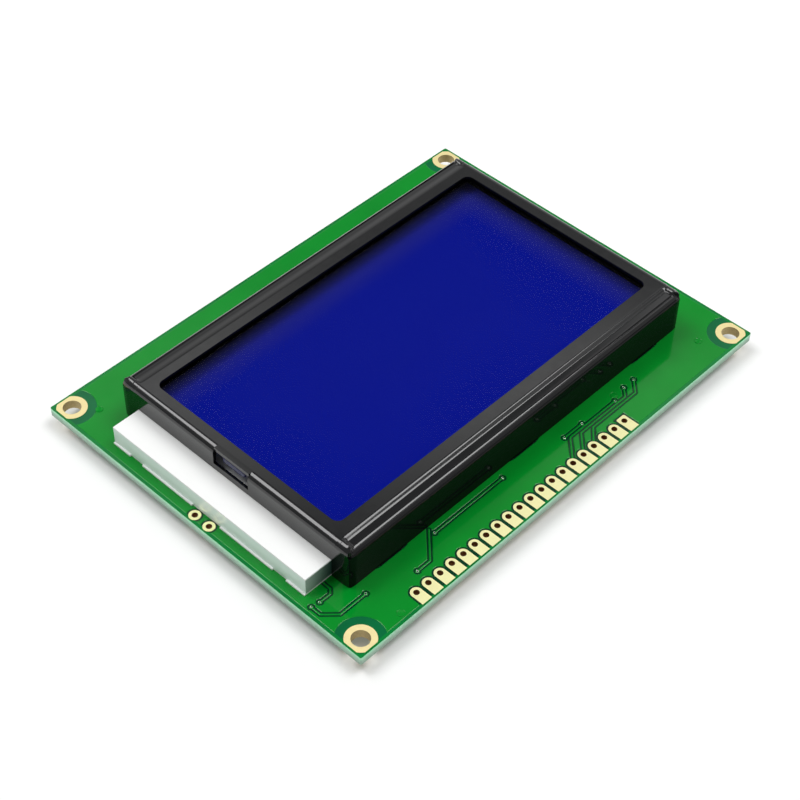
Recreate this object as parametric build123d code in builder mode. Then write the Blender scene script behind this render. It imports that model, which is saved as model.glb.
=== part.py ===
from build123d import *
from math import atan2, degrees, hypot, tan
import os

# Graphic display module: a printed circuit board with a pressed steel bezel over a
# liquid crystal cell and an edge-lit backlight. All sizes are in millimetres.
# The origin is under the board's centre, on the plane that the bezel's twisted tabs
# stand on. +X runs along the long side towards the visible end of the backlight,
# +Y points at the row of header pads, and +Z out of the screen.

# Window in the bezel: the bezel is set around it, and the board around the bezel
window_length = 72.0
window_width = 40.2
window_corner_radius = 1.3
window_end_rim = 2.9
window_side_rim = 5.3
display_shift = -0.2

# Circuit board
board_end_margin = 7.6
board_side_margin = 9.6
board_thickness = 1.6
board_corner_radius = 0.3
foil_thickness = 0.05

# Plated mounting holes
mount_edge_distance = 2.5
mount_hole_diameter = 3.0
mount_ring_diameter = 5.0
ring_edge_margin = 0.35
plating = 0.05

# Row of header pads
header_pin_count = 20
header_pitch = 2.54
header_hole_diameter = 1.0
header_row_shift = 8.26
header_edge_distance = 2.5
header_pad_width = 1.94
header_pad_edge_gap = 0.3
square_pad_chamfer = 0.2

# Pads for the backlight's supply wires
wire_pad_pitch = 3.2
wire_pad_hole_diameter = 1.0
wire_pad_diameter = 2.0
wire_pad_edge_distance = 1.25
wire_pad_shift = -0.1

# Copper layers under the green solder mask
copper_edge_margin = 0.55
copper_ring_gap = 1.45
copper_pad_gap = 0.32
copper_slot_gap = 0.5
trace_width = 0.3
trace_gap = 0.27
via_diameter = 0.7
via_hole_diameter = 0.26

# Pressed steel bezel
bezel_height = 8.2
bezel_sheet = 0.5
bezel_corner_radius = 1.5
fold_radius = 0.9
raised_panel_rim = 2.6
panel_step = 0.3
panel_step_run = 0.3
panel_step_radius = 0.15
corner_relief_diameter = 0.5
corner_relief_depth = 1.6

# Notch in the bezel's wall beside the cell's filling port
notch_width = 7.7
notch_sill_height = 4.9
notch_lip_setback = 0.25

# Tabs that pass through the board and are twisted under it
tab_width = 4.0
tab_pitch = 30.0
tabs_per_side = 3
tab_reach = 1.8
tab_twist_height = 0.6
tab_twist_angle = 35.0
tab_slot_end_gap = 0.9
tab_slot_inner_gap = 0.25
tab_slot_outer_gap = 0.75

# Liquid crystal cell
glass_thickness = 1.1
glass_fold_gap = 0.1
contact_ledge_width = 2.6
polarizer_thickness = 0.2
polarizer_overlap = 1.2
plug_width = 5.0
plug_height = 1.2
plug_bulge = 0.35
plug_end_radius = 0.5
plug_edge_radius = 0.28

# Conductive rubber strips between the board and the cell
zebra_width = 2.0
zebra_glass_gap = 0.3
zebra_end_gap = 2.9

# Edge-lit backlight
backlight_side_rim = 1.4
backlight_overhang = 5.2
backlight_end_gap = 1.0
guide_thickness = 3.05
film_thickness = 0.25
cover_film_overlap = 1.3
reflector_thickness = 0.3
reflector_lip = 0.3
reflector_notch_inset = 5.4
reflector_notch_width = 2.9
reflector_middle_notch_width = 6.3
wall_opening_gap = 0.12
led_count = 6
led_pitch = 6.4
led_length = 3.0
led_depth = 1.4
led_height = 1.3
led_board_thickness = 0.8
led_board_width = 2.4
led_board_end_gap = 2.1
led_edge_distance = 2.3
led_pocket_gap = 0.1
pin_diameter = 0.6
pin_hole_gap = 0.1
pin_pitch = 16.0
pin_floor_gap = 0.6

# Chips and small components on the back
blob_floor_gap = 0.25
blob_edge_radius = 1.1
blob_corner_radius = 5.0
controller_blob_length = 18.0
controller_blob_width = 16.0
controller_shift_x = 8.0
controller_shift_y = -3.0
driver_blob_length = 14.0
driver_blob_width = 12.0
driver_window_inset = 3.0
driver_shift_y = 4.0
chip_part_length = 2.0
chip_part_width = 1.25
resistor_height = 0.55
capacitor_height = 0.85
chip_part_edge_radius = 0.1

# Outlines, each from the one that it surrounds
bezel_half_length = window_length / 2 + window_end_rim
bezel_half_width = window_width / 2 + window_side_rim
raised_panel_half_width = window_width / 2 + raised_panel_rim
board_length = 2 * (bezel_half_length + board_end_margin)
board_width = 2 * (bezel_half_width + board_side_margin)
polarizer_length = window_length + 2 * polarizer_overlap
polarizer_width = window_width + 2 * polarizer_overlap
glass_half_length = bezel_half_length - fold_radius - glass_fold_gap
glass_half_width = bezel_half_width - fold_radius - glass_fold_gap
glass_corner_cut = bezel_corner_radius - fold_radius - glass_fold_gap
rear_glass_half_width = glass_half_width - contact_ledge_width

# Levels, measured up from the plane that the tabs stand on
board_bottom = tab_reach
board_top = board_bottom + board_thickness
surface = board_top + foil_thickness
underside = board_bottom - foil_thickness
bezel_top = surface + bezel_height
shelf_top = bezel_top - panel_step
guide_bottom = surface + reflector_thickness
guide_top = guide_bottom + guide_thickness
backlight_top = guide_top + film_thickness
front_glass_top = shelf_top - bezel_sheet
front_glass_bottom = front_glass_top - glass_thickness
rear_glass_bottom = front_glass_bottom - glass_thickness

# Holes, pads and slots in the board
mount_x = board_length / 2 - mount_edge_distance
mount_y = board_width / 2 - mount_edge_distance
mount_spacing_x = 2 * mount_x
mount_spacing_y = 2 * mount_y
header_row_y = board_width / 2 - header_edge_distance
header_first_x = header_row_shift - (header_pin_count - 1) * header_pitch / 2
header_pad_end = board_width / 2 - header_pad_edge_gap
header_locations = [
    (header_first_x + number * header_pitch, header_row_y) for number in range(header_pin_count)
]
wire_pad_x = board_length / 2 - wire_pad_edge_distance
tab_slot_length = tab_width + 2 * tab_slot_end_gap
tab_slot_width = tab_slot_inner_gap + bezel_sheet + tab_slot_outer_gap
tab_slot_y = bezel_half_width + tab_slot_outer_gap - tab_slot_width / 2
tab_slot_locations = [
    ((index - (tabs_per_side - 1) / 2) * tab_pitch, display_shift + side * tab_slot_y)
    for side in (-1, 1)
    for index in range(tabs_per_side)
]

# Backlight places
backlight_width = window_width + 2 * backlight_side_rim
backlight_near = -(bezel_half_length - bezel_sheet - backlight_end_gap)
backlight_far = bezel_half_length + backlight_overhang
backlight_length = backlight_far - backlight_near
backlight_centre = (backlight_far + backlight_near) / 2
cover_film_start = window_length / 2 - cover_film_overlap
reflector_notch_pitch = backlight_width - 2 * reflector_notch_inset
led_board_length = backlight_width - 2 * led_board_end_gap
led_board_x = backlight_far - led_edge_distance
pin_locations = [(led_board_x, display_shift + side * pin_pitch / 2) for side in (-1, 1)]

# Blobs of resin hang from the underside, clear of the plane that the tabs stand on
blob_height = underside - blob_floor_gap
driver_offset_x = window_length / 2 - driver_window_inset - controller_shift_x


def in_pitches(start_x, start_y, points):
    """Places given in header pitches from a starting place, such as a pad or a hole."""
    return [(start_x + a * header_pitch, start_y + b * header_pitch) for a, b in points]


# Conductors seen on the front, as the corner points of each run, in pitches
front_traces = [
    in_pitches(header_first_x, header_row_y, points)
    for points in (
        [(3, 0), (1.80, -1.06), (-2.41, -1.06), (-3.24, -1.87)],
        [(4, 0), (2.70, -1.29), (-1.67, -1.29), (-2.24, -1.87)],
        [(5, 0), (3.47, -1.52), (-0.92, -1.52)],
        [(2.07, -1.75), (3.77, -1.75)],
        [(8.96, -2.30), (15.03, -2.30)],
        [(15.07, -2.72), (16.74, -1.04), (17.82, -1.04)],
    )
] + [
    in_pitches(mount_x, mount_y, points)
    for points in (
        [(-2.46, -2.03), (-0.39, -2.03), (0.41, -2.83), (0.41, -3.58)],
        [(-0.18, -3.48), (-1.02, -3.48), (-1.30, -3.78), (-1.30, -4.69)],
    )
]
front_vias = [
    front_traces[0][-1],
    front_traces[1][-1],
    front_traces[2][-1],
    front_traces[3][0],
    front_traces[3][-1],
    front_traces[4][0],
    front_traces[4][-1],
    front_traces[5][-1],
    front_traces[6][0],
    front_traces[6][-1],
    front_traces[7][0],
    *in_pitches(header_first_x, header_row_y, [(-1.23, -1.87), (20.70, 0.39)]),
    *in_pitches(mount_x, -mount_y, [(-1.10, 1.34)]),
    *in_pitches(-mount_x, mount_y, [(2.09, -1.06)]),
]

# Conductors on the back, from header pads to the controller
back_traces = [
    in_pitches(header_first_x, header_row_y, points)
    for points in (
        [(0, 0), (0, -6.5), (4.7, -10.0)],
        [(2, 0), (2, -5.3), (5.9, -9.1)],
        [(7, 0), (7, -8.9)],
        [(8, 0), (8, -8.9)],
        [(9, 0), (9, -8.9)],
        [(10, 0), (10, -8.9)],
        [(14, 0), (14, -5.7), (11.0, -9.6)],
        [(16, 0), (16, -4.9), (12.2, -10.8)],
    )
]
back_vias = [points[-1] for points in back_traces]
resistor_places = in_pitches(
    -mount_x, header_row_y, [(2.4, -4.1), (2.4, -5.7), (2.4, -7.3), (2.4, -8.9), (2.4, -10.4)]
) + in_pitches(header_first_x, header_row_y, [(15.6, -4.5), (17.2, -4.5)])
capacitor_places = in_pitches(
    controller_shift_x, -mount_y, [(-2.4, 5.3), (0, 5.3), (2.4, 5.3), (4.8, 5.3)]
) + in_pitches(header_first_x, header_row_y, [(3.1, -4.9)])


# Shapes that several pieces share

def add_run(points, width, mode):
    """Draw a conductor of even width along straight runs between points."""
    for start, end in zip(points, points[1:]):
        run = (end[0] - start[0], end[1] - start[1])
        with Locations(((start[0] + end[0]) / 2, (start[1] + end[1]) / 2)):
            SlotCenterToCenter(
                hypot(*run), width, rotation=degrees(atan2(run[1], run[0])), mode=mode
            )


def add_header_pads(grow, mode):
    """Draw the header pads' outline: square at pin 1, round ended at the others."""
    reach = header_pad_end + grow - header_row_y
    width = header_pad_width + 2 * grow
    for number, (x, y) in enumerate(header_locations):
        with Locations((x, y + reach / 2)):
            Rectangle(width, reach, mode=mode)
        with Locations((x, y)):
            if number:
                Circle(width / 2, mode=mode)
            else:
                Rectangle(width, width, mode=mode)


def pressed_form(inset):
    """Solid form of the bezel's outside, or of its inside when inset is the sheet."""
    half_length = bezel_half_length - inset
    half_width = bezel_half_width - inset
    radius = fold_radius - inset
    bottom = surface - 2 * inset
    top = bezel_top - inset
    shelf = shelf_top - inset
    slope = atan2(panel_step, panel_step_run)
    panel_half = raised_panel_half_width - inset * tan(slope / 2)
    foot_half = panel_half + panel_step_run
    with BuildPart() as form:
        with BuildSketch(Plane.XY.offset(bottom)):
            RectangleRounded(2 * half_length, 2 * half_width, bezel_corner_radius - inset)
        extrude(amount=shelf - bottom)
        fillet(form.faces().sort_by(Axis.Z)[-1].edges(), radius)
    with BuildPart() as raised_form:
        with BuildSketch(Plane.XZ) as section:
            with BuildLine():
                Polyline(
                    (-half_length, bottom),
                    (-half_length, top),
                    (half_length, top),
                    (half_length, bottom),
                    close=True,
                )
            make_face()
            fillet(section.vertices().group_by(Axis.Y)[-1], radius)
        extrude(amount=foot_half, both=True)
        with BuildSketch(Plane.YZ.offset(-half_length)) as side_cuts:
            with BuildLine():
                Polyline(
                    (foot_half, shelf),
                    (panel_half, top),
                    (panel_half - panel_step, top + panel_step),
                    (foot_half, top + panel_step),
                    close=True,
                )
            make_face()
            mirror(about=Plane.YZ)
        extrude(amount=2 * half_length, mode=Mode.SUBTRACT)
        if inset == 0:
            panel_top = raised_form.faces().sort_by(Axis.Z)[-1]
            fillet(panel_top.edges().filter_by(Axis.X), panel_step_radius)
    return form.part + raised_form.part


def plate(length, width, bottom, thickness, centre_x=0.0):
    """A flat rectangular sheet of the display stack."""
    with BuildPart() as sheet:
        with BuildSketch(Plane.XY.offset(bottom)):
            with Locations((centre_x, display_shift)):
                Rectangle(length, width)
        extrude(amount=thickness)
    return sheet


def finish(builder, name):
    """Label a finished piece and write its file."""
    builder.part.label = name
    export_step(builder.part, f"parts/{name}.step")


os.makedirs("parts", exist_ok=True)

# Circuit board

with BuildPart() as printed_circuit_board:
    with BuildSketch(Plane.XY.offset(board_bottom)):
        RectangleRounded(board_length, board_width, board_corner_radius)
        with GridLocations(mount_spacing_x, mount_spacing_y, 2, 2):
            Circle(mount_hole_diameter / 2 + plating, mode=Mode.SUBTRACT)
        with Locations(*header_locations):
            Circle(header_hole_diameter / 2 + plating, mode=Mode.SUBTRACT)
        with Locations((wire_pad_x, wire_pad_shift)):
            with GridLocations(1, wire_pad_pitch, 1, 2):
                Circle(wire_pad_hole_diameter / 2 + plating, mode=Mode.SUBTRACT)
        with Locations(*tab_slot_locations):
            SlotOverall(tab_slot_length, tab_slot_width, mode=Mode.SUBTRACT)
        with Locations(*pin_locations):
            Circle(pin_diameter / 2 + pin_hole_gap, mode=Mode.SUBTRACT)
    extrude(amount=board_thickness)
finish(printed_circuit_board, "printed_circuit_board")


# Copper layers, one on each side of the board

def add_copper(traces, vias):
    """Draw one side's copper: a filled area, its gaps, and the runs inside them."""
    margin = 2 * copper_edge_margin
    Rectangle(board_length - margin, board_width - margin)
    with GridLocations(mount_spacing_x, mount_spacing_y, 2, 2):
        Circle(mount_ring_diameter / 2 + copper_ring_gap, mode=Mode.SUBTRACT)
    add_header_pads(copper_pad_gap, Mode.SUBTRACT)
    with Locations((wire_pad_x, wire_pad_shift)):
        with GridLocations(1, wire_pad_pitch, 1, 2):
            Circle(wire_pad_diameter / 2 + copper_pad_gap, mode=Mode.SUBTRACT)
    for points in traces:
        add_run(points, trace_width + 2 * trace_gap, Mode.SUBTRACT)
    with Locations(*vias):
        Circle(via_diameter / 2 + trace_gap, mode=Mode.SUBTRACT)
    for points in traces:
        add_run(points, trace_width, Mode.ADD)
    with Locations(*vias):
        Circle(via_diameter / 2)
    with Locations(*vias):
        Circle(via_hole_diameter / 2, mode=Mode.SUBTRACT)
    add_header_pads(0.0, Mode.SUBTRACT)
    with Locations(*tab_slot_locations):
        SlotOverall(
            tab_slot_length + 2 * copper_slot_gap,
            tab_slot_width + 2 * copper_slot_gap,
            mode=Mode.SUBTRACT,
        )
    with Locations(*pin_locations):
        Circle(pin_diameter / 2 + pin_hole_gap + copper_pad_gap, mode=Mode.SUBTRACT)


with BuildPart() as front_copper_layer:
    with BuildSketch(Plane.XY.offset(board_top)):
        add_copper(front_traces, front_vias)
    extrude(amount=foil_thickness)
finish(front_copper_layer, "front_copper_layer")

with BuildPart() as back_copper_layer:
    with BuildSketch(Plane.XY.offset(underside)):
        add_copper(back_traces, back_vias)
    extrude(amount=foil_thickness)
finish(back_copper_layer, "back_copper_layer")

# Gold plated rings of the four mounting holes

with BuildPart() as mounting_hole_rings:
    for level in (board_top, underside):
        with BuildSketch(Plane.XY.offset(level)):
            with GridLocations(mount_spacing_x, mount_spacing_y, 2, 2):
                Circle(mount_ring_diameter / 2)
            Rectangle(
                board_length - 2 * ring_edge_margin,
                board_width - 2 * ring_edge_margin,
                mode=Mode.INTERSECT,
            )
        extrude(amount=foil_thickness)
    with BuildSketch(Plane.XY.offset(underside)):
        with GridLocations(mount_spacing_x, mount_spacing_y, 2, 2):
            Circle(mount_hole_diameter / 2 + plating)
    extrude(amount=surface - underside)
    with BuildSketch(Plane.XY.offset(underside)):
        with GridLocations(mount_spacing_x, mount_spacing_y, 2, 2):
            Circle(mount_hole_diameter / 2)
    extrude(amount=surface - underside, mode=Mode.SUBTRACT)
finish(mounting_hole_rings, "mounting_hole_rings")

# Gold plated header pads, each a front pad, a barrel and a back pad

with BuildPart() as header_pads:
    for level in (board_top, underside):
        with BuildSketch(Plane.XY.offset(level)) as pad_faces:
            add_header_pads(0.0, Mode.ADD)
            pad_one_corners = pad_faces.vertices().filter_by(
                lambda v: v.Y < header_row_y and v.X < header_first_x + header_pad_width
            )
            chamfer(pad_one_corners.sort_by(Axis.Y)[:2], square_pad_chamfer)
        extrude(amount=foil_thickness)
    with BuildSketch(Plane.XY.offset(underside)):
        with Locations(*header_locations):
            Circle(header_hole_diameter / 2 + plating)
    extrude(amount=surface - underside)
    with BuildSketch(Plane.XY.offset(underside)):
        with Locations(*header_locations):
            Circle(header_hole_diameter / 2)
    extrude(amount=surface - underside, mode=Mode.SUBTRACT)
finish(header_pads, "header_pads")

# Two plated pads for the backlight's supply wires

with BuildPart() as backlight_wire_pads:
    for level in (board_top, underside):
        with BuildSketch(Plane.XY.offset(level)):
            with Locations((wire_pad_x, wire_pad_shift)):
                with GridLocations(1, wire_pad_pitch, 1, 2):
                    Circle(wire_pad_diameter / 2)
        extrude(amount=foil_thickness)
    with BuildSketch(Plane.XY.offset(underside)):
        with Locations((wire_pad_x, wire_pad_shift)):
            with GridLocations(1, wire_pad_pitch, 1, 2):
                Circle(wire_pad_hole_diameter / 2 + plating)
    extrude(amount=surface - underside)
    with BuildSketch(Plane.XY.offset(underside)):
        with Locations((wire_pad_x, wire_pad_shift)):
            with GridLocations(1, wire_pad_pitch, 1, 2):
                Circle(wire_pad_hole_diameter / 2)
    extrude(amount=surface - underside, mode=Mode.SUBTRACT)
finish(backlight_wire_pads, "backlight_wire_pads")

# Pressed steel bezel with its window, notch, backlight opening and twisted tabs

bezel_outside = pressed_form(0.0)
bezel_inside = pressed_form(bezel_sheet)
bezel_shift = Pos(0, display_shift, 0)

with BuildPart() as bezel:
    add(bezel_shift * bezel_outside)
    add(bezel_shift * bezel_inside, mode=Mode.SUBTRACT)
    with BuildSketch(Plane.XY.offset(bezel_top - bezel_sheet)):
        with Locations((0, display_shift)):
            RectangleRounded(window_length, window_width, window_corner_radius)
    extrude(amount=bezel_sheet, mode=Mode.SUBTRACT)
    # the notch takes the fold away and leaves the panel with a flat sheared edge
    with BuildSketch(Plane.XY.offset(surface + notch_sill_height)):
        with Locations((bezel_half_length, display_shift)):
            Rectangle(2 * fold_radius, notch_width)
    extrude(until=Until.LAST, mode=Mode.SUBTRACT)
    with BuildSketch(Plane.XY.offset(bezel_top - bezel_sheet)):
        with Locations((bezel_half_length - fold_radius, display_shift)):
            Rectangle(fold_radius - notch_lip_setback, notch_width, align=(Align.MIN, Align.CENTER))
    extrude(amount=bezel_sheet)
    # the backlight's end passes under the wall
    with BuildSketch(Plane.XY.offset(surface)):
        with Locations((bezel_half_length, display_shift)):
            Rectangle(4 * bezel_sheet, backlight_width + 2 * wall_opening_gap)
    extrude(amount=backlight_top - surface + wall_opening_gap, mode=Mode.SUBTRACT)
    # the folds stop short of each corner
    with BuildSketch(Plane.XY.offset(bezel_top - corner_relief_depth)):
        corner_inset = bezel_corner_radius * (1 - 0.5**0.5)
        with Locations((0, display_shift)):
            with GridLocations(
                2 * (bezel_half_length - corner_inset), 2 * (bezel_half_width - corner_inset), 2, 2
            ):
                Circle(corner_relief_diameter / 2)
    extrude(amount=corner_relief_depth, mode=Mode.SUBTRACT)
    # tabs, straight through the board and twisted below it
    for x, y in tab_slot_locations:
        side = 1 if y > display_shift else -1
        tab_y = display_shift + side * (bezel_half_width - bezel_sheet / 2)
        with BuildSketch(Plane.XY.offset(board_bottom)):
            with Locations((x, tab_y)):
                Rectangle(tab_width, bezel_sheet)
        extrude(amount=surface - board_bottom)
        with BuildSketch(Plane.XY.offset(board_bottom)):
            with Locations((x, tab_y)):
                Rectangle(tab_width, bezel_sheet)
        with BuildSketch(Plane.XY.offset(board_bottom - tab_twist_height / 2)):
            with Locations((x, tab_y)):
                Rectangle(tab_width, bezel_sheet, rotation=tab_twist_angle / 2)
        with BuildSketch(Plane.XY.offset(board_bottom - tab_twist_height)):
            with Locations((x, tab_y)):
                Rectangle(tab_width, bezel_sheet, rotation=tab_twist_angle)
        loft(ruled=True)
        with BuildSketch(Plane.XY):
            with Locations((x, tab_y)):
                Rectangle(tab_width, bezel_sheet, rotation=tab_twist_angle)
        extrude(amount=board_bottom - tab_twist_height)
finish(bezel, "bezel")

# Liquid crystal cell, from the front to the back

front_polarizer = plate(
    polarizer_length, polarizer_width, front_glass_top, polarizer_thickness
)
finish(front_polarizer, "front_polarizer")

with BuildPart() as front_glass:
    with BuildSketch(Plane.XY.offset(front_glass_bottom)) as glass_outline:
        with Locations((0, display_shift)):
            Rectangle(2 * glass_half_length, 2 * glass_half_width)
        chamfer(glass_outline.vertices(), glass_corner_cut)
    extrude(amount=glass_thickness)
finish(front_glass, "front_glass")

rear_glass = plate(
    2 * glass_half_length, 2 * rear_glass_half_width, rear_glass_bottom, glass_thickness
)
finish(rear_glass, "rear_glass")

rear_polarizer = plate(
    polarizer_length,
    polarizer_width,
    rear_glass_bottom - polarizer_thickness,
    polarizer_thickness,
)
finish(rear_polarizer, "rear_polarizer")

# Cured resin that closes the cell's filling port, at the end by the notch

with BuildPart() as fill_port_plug:
    with BuildSketch(Plane.YZ.offset(glass_half_length)):
        with Locations((display_shift, front_glass_bottom)):
            RectangleRounded(plug_width, plug_height, plug_end_radius)
    extrude(amount=plug_bulge)
    outer_edges = fill_port_plug.faces().sort_by(Axis.X)[-1].edges()
    fillet(outer_edges, plug_edge_radius)
finish(fill_port_plug, "fill_port_plug")

# Conductive rubber strips under the front glass's contact ledges

zebra_y = rear_glass_half_width + zebra_glass_gap + zebra_width / 2
zebra_length = 2 * (glass_half_length - zebra_end_gap)
for name, side in (("zebra_strip_upper", 1), ("zebra_strip_lower", -1)):
    with BuildPart() as zebra_strip:
        with BuildSketch(Plane.XY.offset(surface)):
            with Locations((0, display_shift + side * zebra_y)):
                Rectangle(zebra_length, zebra_width)
        extrude(amount=front_glass_bottom - surface)
    finish(zebra_strip, name)

# Backlight, from the board upwards

with BuildPart() as backlight_reflector:
    with BuildSketch(Plane.XY.offset(surface)):
        with Locations((backlight_near, display_shift)):
            Rectangle(
                backlight_length + reflector_lip,
                backlight_width,
                align=(Align.MIN, Align.CENTER),
            )
        with Locations((backlight_far, display_shift)):
            with GridLocations(1, reflector_notch_pitch, 1, 2):
                Rectangle(
                    reflector_lip,
                    reflector_notch_width,
                    align=(Align.MIN, Align.CENTER),
                    mode=Mode.SUBTRACT,
                )
            Rectangle(
                reflector_lip,
                reflector_middle_notch_width,
                align=(Align.MIN, Align.CENTER),
                mode=Mode.SUBTRACT,
            )
        with Locations(*pin_locations):
            Circle(pin_diameter / 2 + pin_hole_gap, mode=Mode.SUBTRACT)
    extrude(amount=reflector_thickness)
finish(backlight_reflector, "backlight_reflector")

with BuildPart() as backlight_light_guide:
    with BuildSketch(Plane.XY.offset(guide_bottom)):
        with Locations((backlight_centre, display_shift)):
            Rectangle(backlight_length, backlight_width)
    extrude(amount=guide_thickness)
    with BuildSketch(Plane.XY.offset(guide_bottom)):
        with Locations((led_board_x, display_shift)):
            Rectangle(led_board_width + 2 * led_pocket_gap, led_board_length + 2 * led_pocket_gap)
    extrude(amount=led_board_thickness + led_height + led_pocket_gap, mode=Mode.SUBTRACT)
finish(backlight_light_guide, "backlight_light_guide")

backlight_diffuser = plate(
    cover_film_start - backlight_near,
    polarizer_width,
    guide_top,
    film_thickness,
    centre_x=(cover_film_start + backlight_near) / 2,
)
finish(backlight_diffuser, "backlight_diffuser")

backlight_cover_film = plate(
    backlight_far - cover_film_start,
    backlight_width,
    guide_top,
    film_thickness,
    centre_x=(backlight_far + cover_film_start) / 2,
)
finish(backlight_cover_film, "backlight_cover_film")

with BuildPart() as backlight_led_board:
    with BuildSketch(Plane.XY.offset(guide_bottom)):
        with Locations((led_board_x, display_shift)):
            Rectangle(led_board_width, led_board_length)
    extrude(amount=led_board_thickness)
finish(backlight_led_board, "backlight_led_board")

with BuildPart() as backlight_leds:
    with BuildSketch(Plane.XY.offset(guide_bottom + led_board_thickness)):
        with Locations((led_board_x, display_shift)):
            with GridLocations(1, led_pitch, 1, led_count):
                Rectangle(led_depth, led_length)
    extrude(amount=led_height)
finish(backlight_leds, "backlight_leds")

with BuildPart() as backlight_pins:
    with BuildSketch(Plane.XY.offset(pin_floor_gap)):
        with Locations(*pin_locations):
            Circle(pin_diameter / 2)
    extrude(amount=guide_bottom - pin_floor_gap)
finish(backlight_pins, "backlight_pins")


# Chips under drops of black resin, and small components, on the back

def resin_blob(x, y, length, width):
    """A low drop of resin that hangs from the board's underside."""
    with BuildPart() as blob:
        with BuildSketch(Plane.XY.offset(underside - blob_height)):
            with Locations((x, y)):
                RectangleRounded(length, width, blob_corner_radius)
        extrude(amount=blob_height)
        fillet(blob.faces().sort_by(Axis.Z)[0].edges(), blob_edge_radius)
    return blob


controller_chip_blob = resin_blob(
    controller_shift_x, controller_shift_y, controller_blob_length, controller_blob_width
)
finish(controller_chip_blob, "controller_chip_blob")

for name, side in (("driver_chip_blob_left", -1), ("driver_chip_blob_right", 1)):
    driver_x = controller_shift_x + side * driver_offset_x
    driver_blob = resin_blob(driver_x, driver_shift_y, driver_blob_length, driver_blob_width)
    finish(driver_blob, name)


def chip_parts(places, height):
    """Small two-ended components soldered to the board's underside."""
    with BuildPart() as parts:
        with BuildSketch(Plane.XY.offset(underside - height)):
            with Locations(*places):
                Rectangle(chip_part_length, chip_part_width)
        extrude(amount=height)
        fillet(parts.edges().filter_by(Axis.X), chip_part_edge_radius)
    return parts


finish(chip_parts(resistor_places, resistor_height), "smd_resistors")
finish(chip_parts(capacitor_places, capacitor_height), "smd_capacitors")
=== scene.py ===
"""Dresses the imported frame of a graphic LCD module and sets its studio."""

import math

import bmesh
import bpy
from bpy.props import FloatProperty, FloatVectorProperty, PointerProperty
from bpy.types import Operator, Panel, PropertyGroup
from mathutils import Matrix, Vector


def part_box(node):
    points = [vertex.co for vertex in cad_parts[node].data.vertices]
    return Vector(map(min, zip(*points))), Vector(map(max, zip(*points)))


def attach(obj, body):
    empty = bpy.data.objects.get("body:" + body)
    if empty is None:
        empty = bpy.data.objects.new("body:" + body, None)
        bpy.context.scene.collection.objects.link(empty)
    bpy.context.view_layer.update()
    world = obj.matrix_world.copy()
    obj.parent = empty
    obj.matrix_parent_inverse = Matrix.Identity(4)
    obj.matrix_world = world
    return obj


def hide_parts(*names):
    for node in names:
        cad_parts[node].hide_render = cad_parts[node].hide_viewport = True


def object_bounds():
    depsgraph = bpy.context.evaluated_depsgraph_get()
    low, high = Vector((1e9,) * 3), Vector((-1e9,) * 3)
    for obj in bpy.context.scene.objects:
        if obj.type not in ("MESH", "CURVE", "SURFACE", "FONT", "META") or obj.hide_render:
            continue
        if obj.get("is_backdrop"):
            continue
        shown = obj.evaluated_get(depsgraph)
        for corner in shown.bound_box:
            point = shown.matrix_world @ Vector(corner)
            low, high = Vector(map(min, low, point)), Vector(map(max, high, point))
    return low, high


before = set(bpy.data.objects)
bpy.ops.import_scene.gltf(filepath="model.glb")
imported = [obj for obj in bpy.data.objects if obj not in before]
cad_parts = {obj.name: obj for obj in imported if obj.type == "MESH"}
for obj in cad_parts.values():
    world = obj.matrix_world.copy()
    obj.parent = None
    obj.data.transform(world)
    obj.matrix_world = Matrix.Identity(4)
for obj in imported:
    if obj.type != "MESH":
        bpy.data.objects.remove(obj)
cad_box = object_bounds()

bl_info = {
    "name": "Graphic LCD module",
    "version": (1, 0, 0),
    "blender": (4, 5, 0),
    "location": "View3D > Sidebar > LCD module",
    "description": "Dresses the module's board, bezel, screen and backlight, and sets the studio",
    "category": "Object",
}

MM = 0.001
BODY = "root"
TAB_PITCH = 30.0 * MM
TAB_FLARE = 1.1 * MM
NOISE_SPAN = (0.3, 0.7)
TOUCHING = 1e-6


# Node helpers

def fed(tree, kind, choice=None, **inputs):
    """Add a node with its choice of mode or operation, and feed its inputs by name or number."""
    node = tree.nodes.new(kind)
    if choice:
        setattr(node, *choice)
    for label, value in inputs.items():
        key = int(label[1:]) if label[1:].isdigit() else label.replace("_", " ")
        socket = node.inputs[key]
        if isinstance(value, bpy.types.NodeSocket):
            tree.links.new(value, socket)
        else:
            socket.default_value = value
    return node


def emptied(data):
    """The node tree of a material or a world, with nothing in it."""
    data.use_nodes = True
    data.node_tree.nodes.clear()
    return data.node_tree


def surface(name, **sockets):
    """Start a material: one Principled shader whose even values sit on its own sockets."""
    material = bpy.data.materials.new(name)
    tree = emptied(material)
    shader = fed(tree, "ShaderNodeBsdfPrincipled", **sockets)
    fed(tree, "ShaderNodeOutputMaterial", Surface=shader.outputs["BSDF"])
    return material, tree, shader


def place(tree, stretch=(1.0, 1.0, 1.0)):
    """Object coordinates, stretched for grain that runs one way."""
    coordinates = tree.nodes.new("ShaderNodeTexCoord")
    mapping = fed(tree, "ShaderNodeMapping", Scale=stretch, Vector=coordinates.outputs["Object"])
    return mapping.outputs["Vector"]


def speckle(tree, size, detail=3.0, stretch=(1.0, 1.0, 1.0)):
    """Cloudy noise whose spots are about size millimetres across."""
    noise = fed(tree, "ShaderNodeTexNoise", Scale=1.0 / (size * MM), Detail=detail,
                Vector=place(tree, stretch))
    return noise.outputs["Fac"]


def ranged(tree, value, low, high, to_low=0.0, to_high=1.0):
    """Carry value from low..high to to_low..to_high."""
    node = fed(tree, "ShaderNodeMapRange", From_Min=low, From_Max=high, To_Min=to_low,
               To_Max=to_high, Value=value)
    return node.outputs["Result"]


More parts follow.
